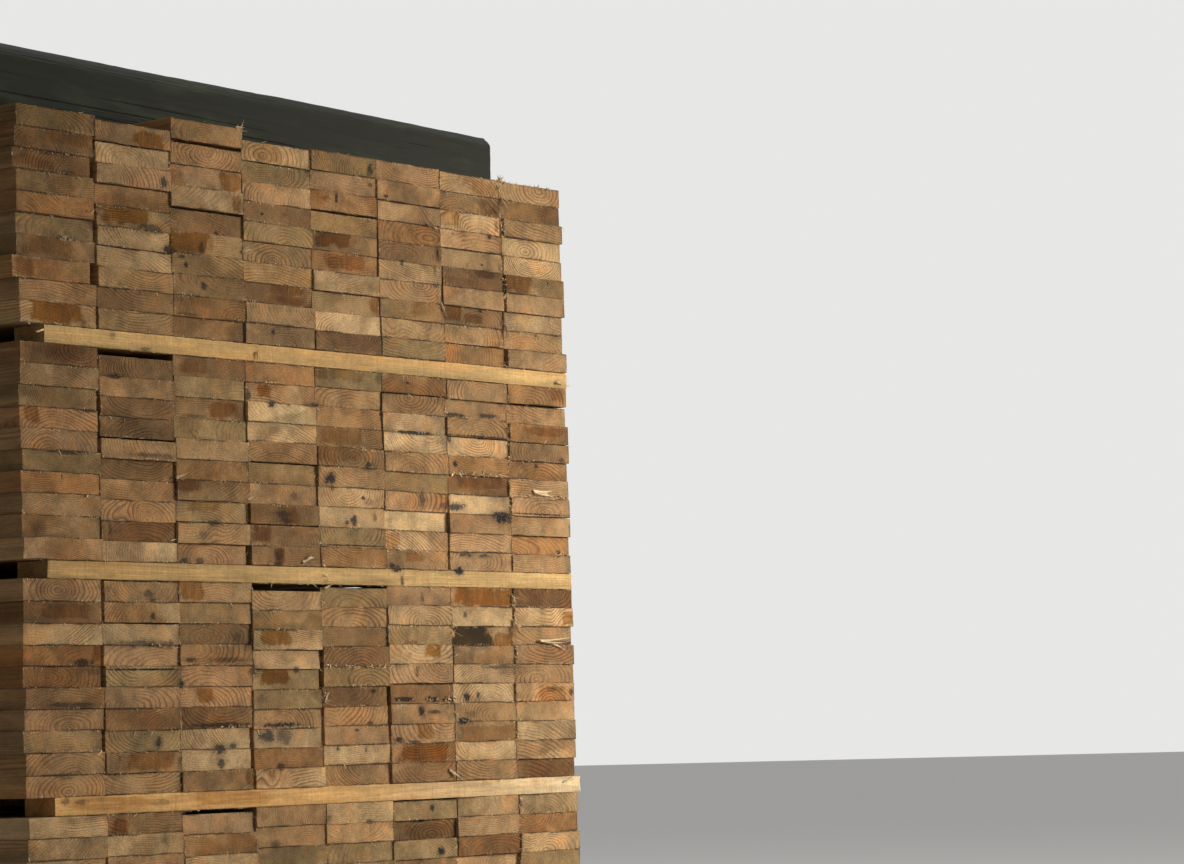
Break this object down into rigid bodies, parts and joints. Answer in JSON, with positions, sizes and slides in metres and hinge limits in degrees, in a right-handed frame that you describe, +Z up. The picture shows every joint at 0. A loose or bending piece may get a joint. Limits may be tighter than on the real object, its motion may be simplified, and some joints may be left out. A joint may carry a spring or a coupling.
{
  "type": "stack of lumber",
  "caption": "Strapped package of rough sawn boards in tiers parted by laths, resting on squared bearers, with more bearers on its top.",
  "frame": {"origin": "on the floor, at the middle of the underside of the middle bottom bearer, under the middle of the package", "axes": "+X across the package towards its right side seen from the front end, +Y along the boards from the front end to the rear end, +Z up"},
  "size_m": [1.0278, 3.0105, 1.2622],
  "materials": {
    "sawn_boards": "rough sawn, end grain showing",
    "laths": "rough sawn, yellow-tan",
    "bearers": "rough sawn with wane",
    "weathered_bearers": "weathered grey-green",
    "straps": "black enamelled steel",
    "seals": "zinc-grey, crimped"
  },
  "bodies": {
    "root": {"bottom_bearer_front": "bearers", "bottom_bearer_middle": "bearers", "bottom_bearer_rear": "bearers", "lath_row_1": "laths", "lath_row_2": "laths", "lath_row_3": "laths", "lath_row_4": "laths", "lath_row_5": "laths", "strap_1": "straps", "strap_2": "straps", "strap_3": "straps", "strap_4": "straps", "strap_seals": "seals", "tier_1_course_01": "sawn_boards", "tier_1_course_02": "sawn_boards", "tier_1_course_03": "sawn_boards", "tier_1_course_04": "sawn_boards", "tier_1_course_05": "sawn_boards", "tier_1_course_06": "sawn_boards", "tier_1_course_07": "sawn_boards", "tier_1_course_08": "sawn_boards", "tier_1_course_09": "sawn_boards", "tier_1_course_10": "sawn_boards", "tier_2_course_01": "sawn_boards", "tier_2_course_02": "sawn_boards", "tier_2_course_03": "sawn_boards", "tier_2_course_04": "sawn_boards", "tier_2_course_05": "sawn_boards", "tier_2_course_06": "sawn_boards", "tier_2_course_07": "sawn_boards", "tier_2_course_08": "sawn_boards", "tier_2_course_09": "sawn_boards", "tier_2_course_10": "sawn_boards", "tier_3_course_01": "sawn_boards", "tier_3_course_02": "sawn_boards", "tier_3_course_03": "sawn_boards", "tier_3_course_04": "sawn_boards", "tier_3_course_05": "sawn_boards", "tier_3_course_06": "sawn_boards", "tier_3_course_07": "sawn_boards", "tier_3_course_08": "sawn_boards", "tier_3_course_09": "sawn_boards", "tier_3_course_10": "sawn_boards", "tier_4_course_01": "sawn_boards", "tier_4_course_02": "sawn_boards", "tier_4_course_03": "sawn_boards", "tier_4_course_04": "sawn_boards", "tier_4_course_05": "sawn_boards", "tier_4_course_06": "sawn_boards", "tier_4_course_07": "sawn_boards", "tier_4_course_08": "sawn_boards", "tier_4_course_09": "sawn_boards", "tier_4_course_10": "sawn_boards", "top_bearer_front": "weathered_bearers", "top_bearer_middle": "weathered_bearers", "top_bearer_rear": "weathered_bearers"}
  },
  "joints": []
}
